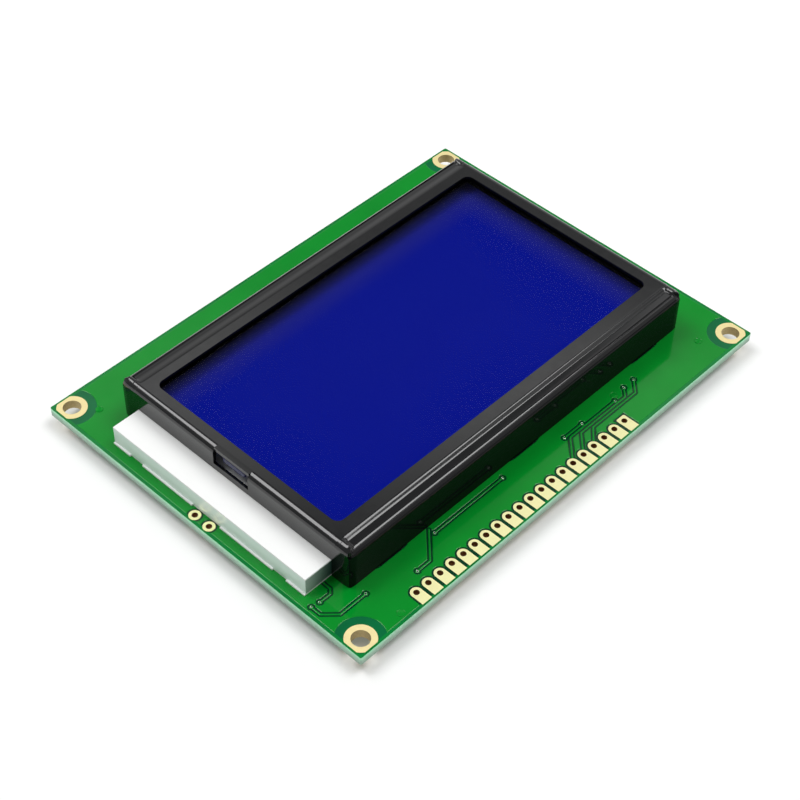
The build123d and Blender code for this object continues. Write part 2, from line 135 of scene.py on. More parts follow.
def mixed(tree, factor, first, second):
    """A colour between first and second; each is a colour or a socket."""
    ends = [colour if isinstance(colour, bpy.types.NodeSocket) else (*colour, 1.0)
            for colour in (first, second)]
    node = fed(tree, "ShaderNodeMix", ("data_type", "RGBA"), Factor=factor, _6=ends[0], _7=ends[1])
    return node.outputs[2]


def combined(tree, operation, first, second):
    """Arithmetic on two sockets or numbers."""
    node = fed(tree, "ShaderNodeMath", ("operation", operation), _0=first, _1=second)
    return node.outputs["Value"]


def relief(tree, shader, height, depth, strength=1.0):
    """Raise and lower the surface by depth millimetres."""
    bump = fed(tree, "ShaderNodeBump", Strength=strength, Distance=depth * MM, Height=height)
    tree.links.new(bump.outputs["Normal"], shader.inputs["Normal"])


def mottled(tree, shader, size, first, second, detail=3.0):
    """Colour the surface in soft spots of two colours."""
    tree.links.new(mixed(tree, speckle(tree, size, detail), first, second),
                   shader.inputs["Base Color"])


def uneven(tree, shader, size, low, high):
    """Let the roughness drift between two levels."""
    tree.links.new(ranged(tree, speckle(tree, size), *NOISE_SPAN, low, high),
                   shader.inputs["Roughness"])


def split_axes(tree, output):
    """The three parts of the object's normal or coordinates."""
    coordinates = tree.nodes.new("ShaderNodeTexCoord")
    return fed(tree, "ShaderNodeSeparateXYZ", Vector=coordinates.outputs[output]).outputs


def facing(tree, axis):
    """1 on faces that look along the axis, either way, and 0 on faces across it."""
    level = combined(tree, "ABSOLUTE", split_axes(tree, "Normal")[axis], 0.0)
    return ranged(tree, level, 0.5, 0.7)


def reach(tree, axis, centre=0.0):
    """Distance from a plane across the axis at centre."""
    offset = combined(tree, "SUBTRACT", split_axes(tree, "Object")[axis], centre)
    return combined(tree, "ABSOLUTE", offset, 0.0)


def shade(colour, share):
    """The colour, darker or lighter by a share."""
    return [min(1.0, share * part) for part in colour]


# Piece helpers

def dress(node, material):
    """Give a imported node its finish."""
    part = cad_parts[node]
    for number in range(len(part.data.materials)):
        part.data.materials[number] = material
    return part


def merged_form(node):
    """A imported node's mesh with its doubles merged, open for editing."""
    form = bmesh.new()
    form.from_mesh(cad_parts[node].data)
    bmesh.ops.remove_doubles(form, verts=form.verts, dist=1e-7)
    return form


def linked_piece(name, mesh):
    """An object of this name in the scene."""
    piece = bpy.data.objects.new(name, mesh)
    bpy.context.scene.collection.objects.link(piece)
    return piece


def piece_from(form, name, material, angle=28.0):
    """Make the form a piece that is smooth but for edges over the angle in degrees."""
    form.normal_update()
    for edge in form.edges:
        edge.smooth = len(edge.link_faces) == 2 and edge.calc_face_angle(0.0) < math.radians(angle)
    for face in form.faces:
        face.smooth = True
    mesh = bpy.data.meshes.new(name)
    form.to_mesh(mesh)
    form.free()
    mesh.materials.append(material)
    return linked_piece(name, mesh)


def skinned(form, rings):
    """Join rings of points, lowest first, into one closed form."""
    for below, above in zip(rings, rings[1:]):
        for number in range(len(below)):
            after = (number + 1) % len(below)
            form.faces.new((below[number], below[after], above[after], above[number]))
    form.faces.new(rings[0][::-1])
    form.faces.new(rings[-1])


def even_light(piece):
    """Let each large flat face keep its own normal where it meets a small curved one."""
    weight = piece.modifiers.new("Even light", "WEIGHTED_NORMAL")
    weight.mode = "FACE_AREA"
    weight.weight = 100
    weight.keep_sharp = True
    return applied(piece)


def applied(piece):
    """Turn a piece and its modifiers into one plain mesh."""
    graph = bpy.context.evaluated_depsgraph_get()
    result = bpy.data.meshes.new_from_object(piece.evaluated_get(graph))
    piece.modifiers.clear()
    piece.data = result
    return piece


def handed_over(piece, slot, *replaced):
    """Let a finished piece ride on the body and hide the nodes that it stands for; the slot is not
    used.
    """
    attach(piece, BODY)
    if replaced:
        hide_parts(*replaced)
    return piece


def joined_places(verts, crosses=lambda edge: True):
    """The places of these vertices, one list for each group that edges join."""
    waiting = set(verts)
    while waiting:
        spread = [waiting.pop()]
        places = []
        while spread:
            vert = spread.pop()
            places.append(vert.co.copy())
            for edge in vert.link_edges:
                other = edge.other_vert(vert)
                if other in waiting and crosses(edge):
                    waiting.remove(other)
                    spread.append(other)
        yield places


def solid_boxes(node):
    """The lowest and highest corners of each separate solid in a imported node."""
    form = merged_form(node)
    boxes = [tuple(Vector([pick(place[axis] for place in places) for axis in range(3)])
                   for pick in (min, max)) for places in joined_places(form.verts)]
    form.free()
    return sorted(boxes, key=lambda box: tuple(box[0]))


# Geometry Nodes helpers

def pattern_tree(name, inputs):
    """Start a tree that puts one shape on each point; inputs are (label, kind, default)."""
    tree = bpy.data.node_groups.new(name, "GeometryNodeTree")
    tree.interface.new_socket("Geometry", in_out="INPUT", socket_type="NodeSocketGeometry")
    for label, kind, default in inputs:
        socket = tree.interface.new_socket(label, in_out="INPUT", socket_type="NodeSocket" + kind)
        socket.default_value = default
    tree.interface.new_socket("Finish", in_out="INPUT", socket_type="NodeSocketMaterial")
    tree.interface.new_socket("Geometry", in_out="OUTPUT", socket_type="NodeSocketGeometry")
    return tree, tree.nodes.new("NodeGroupInput")


def finish_pattern(tree, entry, shape):
    """End the tree: the shape on every point, made real, with its finish."""
    points = fed(tree, "GeometryNodeMeshToPoints", Mesh=entry.outputs["Geometry"])
    copies = fed(tree, "GeometryNodeInstanceOnPoints", Points=points.outputs["Points"],
                 Instance=shape)
    real = fed(tree, "GeometryNodeRealizeInstances", Geometry=copies.outputs["Instances"])
    finish = fed(tree, "GeometryNodeSetMaterial", Geometry=real.outputs["Geometry"],
                 Material=entry.outputs["Finish"])
    fed(tree, "NodeGroupOutput", Geometry=finish.outputs["Geometry"])
    return tree


def repeated(tree, name, places, **values):
    """Run a pattern tree on points and keep the result as a plain mesh."""
    mesh = bpy.data.meshes.new(name)
    mesh.from_pydata(places, [], [])
    piece = linked_piece(name, mesh)
    modifier = piece.modifiers.new("Pattern", "NODES")
    modifier.node_group = tree
    for item in tree.interface.items_tree:
        label = item.name.replace(" ", "_")
        if item.in_out == "INPUT" and label in values:
            modifier[item.identifier] = values[label]
    return applied(piece)


def rim_tree():
    """A round wire bent into a ring that lies flat."""
    tree, entry = pattern_tree("flat_rim", [
        ("Rim radius", "Float", 0.2 * MM), ("Wire radius", "Float", 0.05 * MM)])
    ring = fed(tree, "GeometryNodeCurvePrimitiveCircle", Resolution=16,
               Radius=entry.outputs["Rim radius"])
    wire = fed(tree, "GeometryNodeCurvePrimitiveCircle", Resolution=8,
               Radius=entry.outputs["Wire radius"])
    rim = fed(tree, "GeometryNodeCurveToMesh", Curve=ring.outputs["Curve"],
              Profile_Curve=wire.outputs["Curve"])
    smooth = fed(tree, "GeometryNodeSetShadeSmooth", Geometry=rim.outputs["Mesh"])
    return finish_pattern(tree, entry, smooth.outputs["Geometry"])


def bar_tree():
    """A short bar along X with rounded long edges, centred on its point."""
    tree, entry = pattern_tree("rounded_bar", [
        ("Length", "Float", 2.0 * MM), ("Width", "Float", 1.25 * MM),
        ("Height", "Float", 0.55 * MM), ("Edge radius", "Float", 0.08 * MM)])
    section = fed(tree, "GeometryNodeCurvePrimitiveQuadrilateral",
                  Width=entry.outputs["Width"], Height=entry.outputs["Height"])
    rounded = fed(tree, "GeometryNodeFilletCurve", ("mode", "POLY"),
                  Curve=section.outputs["Curve"], Radius=entry.outputs["Edge radius"], Count=3)
    half, back = (fed(tree, "ShaderNodeMath", ("operation", "MULTIPLY"),
                      _0=entry.outputs["Length"], _1=share) for share in (0.5, -0.5))
    start = fed(tree, "ShaderNodeCombineXYZ", X=back.outputs["Value"])
    end = fed(tree, "ShaderNodeCombineXYZ", X=half.outputs["Value"])
    line = fed(tree, "GeometryNodeCurvePrimitiveLine", Start=start.outputs["Vector"],
               End=end.outputs["Vector"])
    bar = fed(tree, "GeometryNodeCurveToMesh", Curve=line.outputs["Curve"],
              Profile_Curve=rounded.outputs["Curve"], Fill_Caps=True)
    return finish_pattern(tree, entry, bar.outputs["Mesh"])


# Settings

def colour_setting(name, description, default):
    """A colour for the sidebar."""
    return FloatVectorProperty(name=name, description=description, subtype="COLOR",
                               default=default, min=0.0, max=1.0)


def length_setting(name, description, default, low=0.0):
    """A length in metres for the sidebar."""
    return FloatProperty(name=name, description=description, subtype="DISTANCE", unit="LENGTH",
                         default=default, min=low)


def share_setting(name, description, default):
    """A share from 0 to 1 for the sidebar."""
    return FloatProperty(name=name, description=description, subtype="FACTOR",
                         default=default, min=0.0, max=1.0)


def angle_setting(name, description, degrees):
    """An angle for the sidebar, given in degrees."""
    return FloatProperty(name=name, description=description, subtype="ANGLE", unit="ROTATION",
                         default=math.radians(degrees))


class BoardSettings(PropertyGroup):
    """The circuit board's finish."""

    mask_colour: colour_setting(
        "Mask over copper", "Solder mask where copper lies under it", (0.001, 0.245, 0.02))
    margin_colour: colour_setting(
        "Mask at the edge", "Solder mask along the board's edge, past the copper",
        (0.001, 0.2, 0.035))
    ring_colour: colour_setting(
        "Mask round a ring", "Solder mask in the clear band round each ring", (0.001, 0.14, 0.042))
    # Mask over bare laminate, made much darker by painted shade in the narrow gaps.
    gap_colour_and_shade: colour_setting(
        "Mask in a gap", "Solder mask in the narrow gaps between copper", (0.0005, 0.045, 0.016))
    laminate_colour: colour_setting(
        "Laminate", "Cut edge of the glass fibre board", (0.49, 0.72, 0.56))
    # The mask's pale fringe on the cut edge, lightened as a painted highlight.
    mask_fringe_and_highlight_colour: colour_setting(
        "Laminate rim", "Cut edge just under the solder mask", (0.5, 0.98, 0.66))
    gold_colour: colour_setting(
        "Ring plating", "Gold plate on the mounting rings", (1.0, 0.85, 0.42))
    pad_colour: colour_setting(
        "Pad plating", "Paler plate on the header and wire pads", (1.0, 0.97, 0.5))
    rim_width: length_setting(
        "Mask slope", "Width over which the mask slopes down at the copper's edge", 0.09 * MM)
    rim_depth: length_setting(
        "Mask fall", "How far the mask falls at the copper's edge", 0.042 * MM)


class ScreenSettings(PropertyGroup):
    """The bezel's and the display's finish."""

    screen_colour: colour_setting(
        "Screen", "Blue of the idle liquid crystal cell", (0.0018, 0.0062, 0.23))
    # The screen's dark long rim is painted shade.
    painted_rim_shade: share_setting(
        "Screen rim", "Share of the blue left at the screen's shaded long rim", 0.1)
    paint_colour: colour_setting(
        "Bezel paint", "Black stoving paint on the bezel", (0.003, 0.0035, 0.004))
    paint_gloss: share_setting(
        "Paint roughness", "Roughness of the bezel's paint", 0.11)
    step_middle: length_setting(
        "Step", "From the display's centre line to the middle of the panel's step", 22.88 * MM)
    step_run: length_setting(
        "Step width", "Width over which the panel falls to its shelf", 1.0 * MM, 0.1 * MM)
    far_step_run: length_setting(
        "Far step width", "The same width on the side away from the header", 1.9 * MM, 0.1 * MM)
    step_height: length_setting(
        "Step height", "How far the panel falls to its shelf", 0.4 * MM)
    shelf_fall: length_setting(
        "Shelf fall", "How far the shelf falls from the step to the fold", 0.08 * MM)


class StudioSettings(PropertyGroup):
    """Floor, lamps and camera."""

    floor_size: length_setting(
        "Floor", "Side of the square floor", 3.0, 0.5)
    lamp_distance: length_setting(
        "Lamp distance", "From the module to each softbox", 0.9, 0.3)
    lamp_side: length_setting(
        "Softbox side", "Side of each square softbox", 0.45, 0.05)
    lamp_power: FloatProperty(
        name="Softbox power", description="Power of each softbox",
        subtype="POWER", unit="POWER", default=3.95, min=0.0)
    camera_azimuth: angle_setting(
        "Camera azimuth", "Turn of the view about the vertical", 133.098)
    camera_elevation: angle_setting(
        "Camera elevation", "Height of the view above the floor", 46.361)
    camera_roll: angle_setting(
        "Camera roll", "Tilt of the view", 1.052)
    lens: FloatProperty(
        name="Lens", description="Focal length on a 36 mm sensor",
        subtype="DISTANCE_CAMERA", unit="CAMERA", default=82.71, min=10.0)
    camera_place: FloatVectorProperty(
        name="Camera place", description="Centre of the lens",
        subtype="TRANSLATION", unit="LENGTH", default=(0.155260, 0.143452, 0.217819))


# Circuit board

RING_INSET = 2.15 * MM
RING_BAND = 4.0 * MM
VIA_HOLE = 0.4 * MM
VIA_RING = 1.6 * MM
SLOT_REACH = 1.4 * MM
SLOT_HALF_LENGTH = 3.5 * MM
SLOT_PULL = 0.8
UPRIGHT = 0.5


def band_round_rings(tree):
    """1 in the clear band round each mounting ring, 0 elsewhere."""
    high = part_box("mounting_hole_rings")[1]
    centre = Vector((high.x, high.y)) - Vector((RING_INSET, RING_INSET))
    across = [combined(tree, "SUBTRACT", reach(tree, axis), at)
              for axis, at in (("X", centre.x), ("Y", centre.y))]
    squares = [combined(tree, "MULTIPLY", value, value) for value in across]
    distance = combined(tree, "SQRT", combined(tree, "ADD", *squares), 0.0)
    return ranged(tree, distance, RING_BAND + 0.1 * MM, RING_BAND)


def band_at_edges(tree):
    """1 along the board's edge past the copper, 0 elsewhere."""
    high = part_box("front_copper_layer")[1]
    past = [combined(tree, "SUBTRACT", reach(tree, axis), at - 0.02 * MM)
            for axis, at in (("X", high.x), ("Y", high.y))]
    return ranged(tree, combined(tree, "MAXIMUM", *past), 0.0, 0.01 * MM)


def board_finish(settings):
    """Mask over bare laminate, by place, and the sawn edge in its layers, with painted shade low on
    the edge and in the copper's gaps, and a painted highlight along the edge's top.
    """
    board, tree, shader = surface("masked_laminate", IOR=1.5, Specular_IOR_Level=0.2)
    # In the gaps: the mask over bare laminate, darkened by painted shade.
    mask = mixed(tree, band_round_rings(tree), settings.gap_colour_and_shade, settings.ring_colour)
    mask = mixed(tree, band_at_edges(tree), mask, settings.margin_colour)
    mask = mixed(tree, ranged(tree, speckle(tree, 6.0), *NOISE_SPAN, 0.0, 0.25), mask, (0.0, 0.0, 0.0))
    layers = speckle(tree, 0.12, 2.0, (0.12, 0.12, 1.0))
    fibres = speckle(tree, 0.3, 4.0)
    height = split_axes(tree, "Object")["Z"]
    low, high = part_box("printed_circuit_board")
    # Painted shade: the cut edge darkens towards its foot, where less light reaches it.
    edge = mixed(tree, ranged(tree, height, low.z, low.z + 0.9 * MM),
                 shade(settings.laminate_colour, 0.66), settings.laminate_colour)
    # Partly the mask's pale fringe, partly a painted highlight along the edge's top.
    edge = mixed(tree, ranged(tree, height, high.z - 0.6 * MM, high.z - 0.4 * MM),
                 edge, settings.mask_fringe_and_highlight_colour)
    edge = mixed(tree, ranged(tree, layers, 0.35, 0.65, 0.0, 0.2), edge, (0.1, 0.2, 0.12))
    edge = mixed(tree, ranged(tree, fibres, 0.58, 0.75, 0.0, 0.6), edge, (0.62, 0.78, 0.66))
    level = facing(tree, "Z")
    tree.links.new(mixed(tree, level, edge, mask), shader.inputs["Base Color"])
    tree.links.new(ranged(tree, level, 0.0, 1.0, 0.55, 0.09), shader.inputs["Roughness"])
    relief(tree, shader, layers, 0.01, 0.3)
    return board


def mask_finish(settings):
    """Glossy green solder mask over copper."""
    mask, tree, shader = surface("mask_over_copper", IOR=1.5, Specular_IOR_Level=0.2)
    colour = mixed(tree, ranged(tree, speckle(tree, 9.0, 4.0), *NOISE_SPAN),
                   settings.mask_colour, shade(settings.mask_colour, 0.88))
    tree.links.new(colour, shader.inputs["Base Color"])
    uneven(tree, shader, 2.0, 0.07, 0.11)
    relief(tree, shader, speckle(tree, 0.9, 2.0), 0.002, 0.3)
    return mask


def slope_rims(form, settings):
    """Let the mask slope down at each edge of the copper's outer face."""
    outer = 1.0 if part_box("front_copper_layer")[0].z < sum(v.co.z for v in form.verts) / len(
        form.verts) else -1.0
    flats = [face for face in form.faces if outer * face.normal.z > 0.99]
    ring = bmesh.ops.inset_region(form, faces=flats, thickness=settings.rim_width,
                                  use_boundary=True, use_even_offset=True)["faces"]
    kept = {vert for face in flats for vert in face.verts}
    fallen = {vert for face in ring for vert in face.verts} - kept
    for vert in fallen:
        vert.co.z -= outer * settings.rim_depth


def wall_reach():
    """The bezel's middle across Y, and the distance from there to its long walls."""
    low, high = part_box("bezel")
    return (low.y + high.y) / 2, (high.y - low.y) / 2 - TAB_FLARE


def narrow_slots(form):
    """Pull each tab slot's outer rim close to the bezel's wall."""
    middle, wall = wall_reach()
    for vert in form.verts:
        past = abs(vert.co.y - middle) - wall + 0.1 * MM
        along = min(abs(vert.co.x), abs(abs(vert.co.x) - TAB_PITCH))
        if 0.0 < past < SLOT_REACH and along < SLOT_HALF_LENGTH:
            vert.co.y -= math.copysign(SLOT_PULL * past, vert.co.y - middle)


class LCDMODULE_OT_circuit_board(Operator):
    """Make the laminate with close tab slots, and the mask with sloping rims."""

    bl_idname = "lcdmodule.circuit_board"
    bl_label = "Circuit board"

    def execute(self, context):
        settings = context.scene.lcdmodule_board
        form = merged_form("printed_circuit_board")
        narrow_slots(form)
        board = piece_from(form, "laminate_board", board_finish(settings))
        handed_over(board, "board_laminate", "printed_circuit_board")
        mask = mask_finish(settings)
        for node, name in (("front_copper_layer", "front_solder_mask"),
                           ("back_copper_layer", "back_solder_mask")):
            form = merged_form(node)
            narrow_slots(form)
            form.normal_update()
            slope_rims(form, settings)
            handed_over(piece_from(form, name, mask, 12.0), "solder_mask", node)
        self.cover_lone_vias(mask)
        return {"FINISHED"}

    def cover_lone_vias(self, mask):
        """Low domes of mask over the vias that no conductor leads to."""
        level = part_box("front_copper_layer")[1].z
        lone = via_places("front_copper_layer", level)[1]
        reach_out = 0.62 * MM
        profile = [(reach_out * wide, 0.001 * MM * tall) for wide, tall in (
            (1.0, -4), (0.97, 3), (0.8, 6), (0.5, 12), (0.36, 26), (0.28, 30), (0.15, 14),
            (0.04, 10))]
        domes = turned("covered_vias", mask, profile, lone)
        handed_over(domes, "solder_mask")


def on_a_wall(edge):
    """Whether an upright face meets this edge."""
    return any(abs(face.normal.z) < UPRIGHT for face in edge.link_faces)


def via_places(node, level):
    """Centres of a copper layer's vias on conductors, and of those that stand alone."""
    form = merged_form(node)
    form.normal_update()
    rims = {vert for edge in form.edges for vert in edge.verts
            if all(abs(end.co.z - level) < TOUCHING for end in edge.verts) and on_a_wall(edge)}
    loops = []
    for loop in joined_places(rims, on_a_wall):
        wide = max(max(p[axis] for p in loop) - min(p[axis] for p in loop) for axis in range(2))
        loops.append((sum(loop, Vector()) / len(loop), wide))
    form.free()
    led, lone = [], []
    for centre, wide in loops:
        if wide < VIA_HOLE:
            ringed = any((centre - other).length < 0.05 * MM and VIA_HOLE < width < VIA_RING
                         for other, width in loops)
            (lone if ringed else led).append(centre)
    return led, lone


class LCDMODULE_OT_gold_pads(Operator):
    """Finish the plated mounting rings and pads, and put a bright rim on each via but the lone ones on
    the front.
    """

    bl_idname = "lcdmodule.gold_pads"
    bl_label = "Plated pads"

    def execute(self, context):
        settings = context.scene.lcdmodule_board
        # The third colour is painted shade for the upright faces down the holes.
        ring = self.plate("gold_plate", settings.gold_colour, (0.75, 0.6, 0.3))
        pad = self.plate("pale_gold_plate", settings.pad_colour, (0.35, 0.12, 0.02))
        dress("mounting_hole_rings", ring)
        dress("header_pads", pad)
        dress("backlight_wire_pads", pad)
        front = via_places("front_copper_layer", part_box("front_copper_layer")[1].z)[0]
        back = via_places("back_copper_layer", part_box("back_copper_layer")[0].z)
        piece = repeated(rim_tree(), "via_rims", front + back[0] + back[1],
                         Rim_radius=0.17 * MM, Wire_radius=0.04 * MM, Finish=self.tin())
        handed_over(piece, "gold_plate")
        return {"FINISHED"}

    def plate(self, name, colour, hole_shade_colour):
        """Plating with fine wear, and painted shade darkening the holes' walls."""
        gold, tree, shader = surface(name, Metallic=0.5)
        wear = speckle(tree, 0.8, 5.0)
        face = mixed(tree, ranged(tree, wear, *NOISE_SPAN), colour, shade(colour, 0.92))
        # Painted shade: upright faces take the darker hole shade colour.
        wall = mixed(tree, speckle(tree, 0.3), hole_shade_colour, shade(hole_shade_colour, 0.6))
        tree.links.new(mixed(tree, facing(tree, "Z"), wall, face), shader.inputs["Base Color"])
        tree.links.new(ranged(tree, wear, *NOISE_SPAN, 0.28, 0.42), shader.inputs["Roughness"])
        relief(tree, shader, speckle(tree, 0.15, 3.0), 0.004, 0.4)
        return gold

    def tin(self):
        """Bright tin on the vias."""
        tin, tree, shader = surface("bright_tin", Metallic=1.0)
        mottled(tree, shader, 0.1, (0.9, 0.95, 0.88), (0.75, 0.82, 0.74))
        uneven(tree, shader, 0.2, 0.2, 0.35)
        return tin


# Bezel

STEP_SLICES = 12
END_SLICES = 7
SHEET = 0.5 * MM
PACKED_FOLD = 0.9 * MM
FOLD = 1.2 * MM
CORNER = 1.5 * MM
SHARPER = 0.55
PANEL_EDGE = 22.7 * MM
PANEL_FOOT = 23.0 * MM
PANEL_HEIGHT = 0.3 * MM
RUN_OUT = 0.75 * MM
WINDOW_WALL_X = 36.3 * MM
WINDOW_WALL_Y = 20.4 * MM


def eased(share):
    """0 to 1 with a level start and end."""
    share = min(max(share, 0.0), 1.0)
    return share * share * (3 - 2 * share)


def sliced(form, axis, places):
    """Cut the form's faces across an axis at each of these places."""
    normal = [float(number == axis) for number in range(3)]
    for place_on_axis in places:
        bmesh.ops.bisect_plane(
            form, geom=[*form.verts, *form.edges, *form.faces], dist=1e-7,
            plane_co=[place_on_axis * part for part in normal], plane_no=normal)


def drawn_top(across, top):
    """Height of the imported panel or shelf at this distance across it."""
    share = (across - PANEL_EDGE) / (PANEL_FOOT - PANEL_EDGE)
    return top - PANEL_HEIGHT * min(max(share, 0.0), 1.0)


def widen_folds(form):
    """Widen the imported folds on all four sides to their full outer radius."""
    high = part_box("bezel")[1]
    middle_y, wall_y = wall_reach()
    growth = FOLD / PACKED_FOLD
    near = PACKED_FOLD + TOUCHING
    for vert in form.verts:
        x, y = abs(vert.co.x), abs(vert.co.y - middle_y)
        depth = drawn_top(y, high.z) - vert.co.z
        out_x, out_y = x - high.x + CORNER, y - wall_y + CORNER
        rounded = out_x > 0.0 and out_y > 0.0
        inset = CORNER - (math.hypot(out_x, out_y) if rounded else max(out_x, out_y))
        if depth > near or inset > near:
            continue
        vert.co.z -= depth * (growth - 1.0)
        inward = inset * (growth - 1.0)
        if rounded:
            reach_out = math.hypot(out_x, out_y)
            vert.co.x -= math.copysign(inward * out_x / reach_out, vert.co.x)
            vert.co.y -= math.copysign(inward * out_y / reach_out, vert.co.y - middle_y)
        elif out_x > out_y:
            vert.co.x -= math.copysign(inward, vert.co.x)
        else:
            vert.co.y -= math.copysign(inward, vert.co.y - middle_y)


def press_steps(form, settings):
    """Round the panel's two long steps and let them run out before the end folds."""
    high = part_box("bezel")[1]
    middle_y, wall_y = wall_reach()
    top, fold_x, fold_y = high.z, high.x - FOLD, wall_y - FOLD
    shelf = top - PANEL_HEIGHT
    runs = {1: settings.step_run, -1: settings.far_step_run}
    starts = {side: settings.step_middle - run / 2 for side, run in runs.items()}
    for side, run in runs.items():
        rows = [starts[side] - 0.12 * MM, fold_y]
        rows += [starts[side] + run * number / STEP_SLICES for number in range(STEP_SLICES + 1)]
        sliced(form, 1, [middle_y + side * row for row in rows])
    ends = [fold_x - RUN_OUT * number / END_SLICES for number in range(END_SLICES + 1)]
    sliced(form, 0, [side * end for end in ends for side in (-1, 1)])
    form.normal_update()
    for vert in form.verts:
        side = 1 if vert.co.y > middle_y else -1
        start, run = starts[side], runs[side]
        across, along = abs(vert.co.y - middle_y), abs(vert.co.x)
        outward = max(vert.normal.x * math.copysign(1.0, vert.co.x) if along > fold_x else 0.0,
                      vert.normal.y * side if across > fold_y else 0.0)
        outer = vert.normal.z >= 0.1 or (outward > 0.5 and vert.normal.z > -0.1)
        if across <= start or not outer or vert.co.z < shelf - FOLD - TOUCHING:
            continue
        slope = (across - start - run) / (fold_y - start - run)
        fall = settings.shelf_fall * min(max(slope, 0.0), 1.0)
        late = FOLD * eased((across - fold_y) / FOLD)
        left = 1.0 - eased((along - fold_x + RUN_OUT - late) / RUN_OUT)
        pressed = top - left * (settings.step_height * eased((across - start) / run) + fall)
        flat = across < fold_y - TOUCHING and along < fold_x + TOUCHING
        if flat and vert.co.z > shelf - SHEET / 2:
            vert.co.z = pressed
        elif along > fold_x and across < wall_y - CORNER:
            bent = min(along - fold_x, FOLD)
            vert.co.z = pressed - FOLD + math.sqrt(FOLD * FOLD - bent * bent)
        else:
            vert.co.z += pressed - drawn_top(across, top)


def sharpen_corners(form):
    """Draw the four upright corners out to the tight corners of a folded sheet."""
    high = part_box("bezel")[1]
    middle_y, wall_y = wall_reach()
    for vert in form.verts:
        out_x = abs(vert.co.x) - high.x + CORNER
        out_y = abs(vert.co.y - middle_y) - wall_y + CORNER
        if out_x > 0.0 and out_y > 0.0:
            wider = SHARPER * (math.hypot(out_x, out_y) / max(out_x, out_y) - 1.0)
            vert.co.x += math.copysign(out_x * wider, vert.co.x)
            vert.co.y += math.copysign(out_y * wider, vert.co.y - middle_y)


class LCDMODULE_OT_bezel(Operator):
    """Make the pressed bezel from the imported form, with soft steps, folds and black paint."""

    bl_idname = "lcdmodule.bezel"
    bl_label = "Bezel"

    def execute(self, context):
        settings = context.scene.lcdmodule_screen
        form = merged_form("bezel")
        widen_folds(form)
        press_steps(form, settings)
        sharpen_corners(form)
        form.normal_update()
        middle_y = wall_reach()[0]
        # Painted shade: the long outer walls and the window's walls get a duller copy of the paint,
        # standing in for the shaded board they mirror.
        for face in form.faces:
            middle = face.calc_center_median()
            inside = abs(middle.x) < WINDOW_WALL_X and abs(middle.y - middle_y) < WINDOW_WALL_Y
            upright = abs(face.normal.z) < UPRIGHT
            face.material_index = int(upright and (inside or abs(face.normal.y) > UPRIGHT))
        piece = piece_from(form, "pressed_bezel", self.paint("black_paint", settings, 1.6, 0.5))
        # The duller copy is painted shade on those walls.
        piece.data.materials.append(self.paint("dull_black_paint", settings, 1.5, 0.08))
        handed_over(even_light(piece), "bezel_paint", "bezel")
        return {"FINISHED"}

    def paint(self, name, settings, index, level):
        """Black stoving paint with a fine orange peel, at this level of gloss."""
        paint, tree, shader = surface(name, IOR=index, Specular_IOR_Level=level)
        mottled(tree, shader, 7.0, settings.paint_colour, shade(settings.paint_colour, 1.3), 4.0)
        gloss = settings.paint_gloss
        uneven(tree, shader, 1.5, 0.85 * gloss, 1.15 * gloss)
        relief(tree, shader, speckle(tree, 0.5, 3.0), 0.002, 0.25)
        return paint


# Screen

def outline(box, cut, height):
    """Eight corners round a box at one height, with its corners cut off."""
    low, high = box
    points = []
    for x, y, first in ((high.x, low.y, 1), (high.x, high.y, 0), (low.x, high.y, 1),
                        (low.x, low.y, 0)):
        inward = Vector((cut if x == low.x else -cut, 0.0, 0.0))
        along = Vector((0.0, cut if y == low.y else -cut, 0.0))
        corner = Vector((x, y, height))
        pair = [corner + inward, corner + along]
        points += pair if first else pair[::-1]
    return points


def stacked_cell():
    """One clear closed form of rear glass, front glass and front polarizer."""
    rear, front, film = (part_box(node) for node in ("rear_glass", "front_glass", "front_polarizer"))
    seam = 0.03 * MM
    rear = (rear[0] + Vector((seam, 0.0, seam)), rear[1] - Vector((seam, 0.0, 0.0)))
    levels = [(rear, 0.1, rear[0].z), (rear, 0.1, rear[1].z), (front, 0.5, front[0].z),
              (front, 0.5, front[1].z), (film, 0.1, film[0].z), (film, 0.1, film[1].z)]
    form = bmesh.new()
    rings = [[form.verts.new(point) for point in outline(box, cut * MM, height)]
             for box, cut, height in levels]
    skinned(form, rings)
    bmesh.ops.recalc_face_normals(form, faces=form.faces)
    return form


def clear_finish(roughness, index):
    """Clear glass under a film: faintly tinted, glossy where light comes from outside."""
    material = bpy.data.materials.new("clear_cell")
    tree = emptied(material)
    tint = mixed(tree, speckle(tree, 12.0), (0.965, 0.975, 0.985), (0.95, 0.96, 0.98))
    low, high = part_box("rear_polarizer")
    middle = (low.y + high.y) / 2
    past = ranged(tree, reach(tree, "Y", middle), high.y - middle - 0.06 * MM,
                  high.y - middle - 0.04 * MM)
    lower = ranged(tree, split_axes(tree, "Object")["Z"], high.z + 0.6 * MM, high.z + 0.5 * MM)
    seal = combined(tree, "MULTIPLY", past, lower)
    through = fed(tree, "ShaderNodeBsdfTransparent",
                  Color=mixed(tree, seal, tint, (0.0, 0.0, 0.0)))
    mirror = fed(tree, "ShaderNodeBsdfGlossy", Roughness=ranged(
        tree, speckle(tree, 2.5, 4.0), *NOISE_SPAN, 0.8 * roughness, 1.2 * roughness))
    gloss = fed(tree, "ShaderNodeFresnel", IOR=index)
    sides = tree.nodes.new("ShaderNodeNewGeometry")
    outside = combined(tree, "SUBTRACT", 1.0, sides.outputs["Backfacing"])
    blend = fed(tree, "ShaderNodeMixShader",
                Fac=combined(tree, "MULTIPLY", gloss.outputs["Fac"], outside),
                _1=through.outputs["BSDF"], _2=mirror.outputs["BSDF"])
    fed(tree, "ShaderNodeOutputMaterial", Surface=blend.outputs["Shader"])
    return material


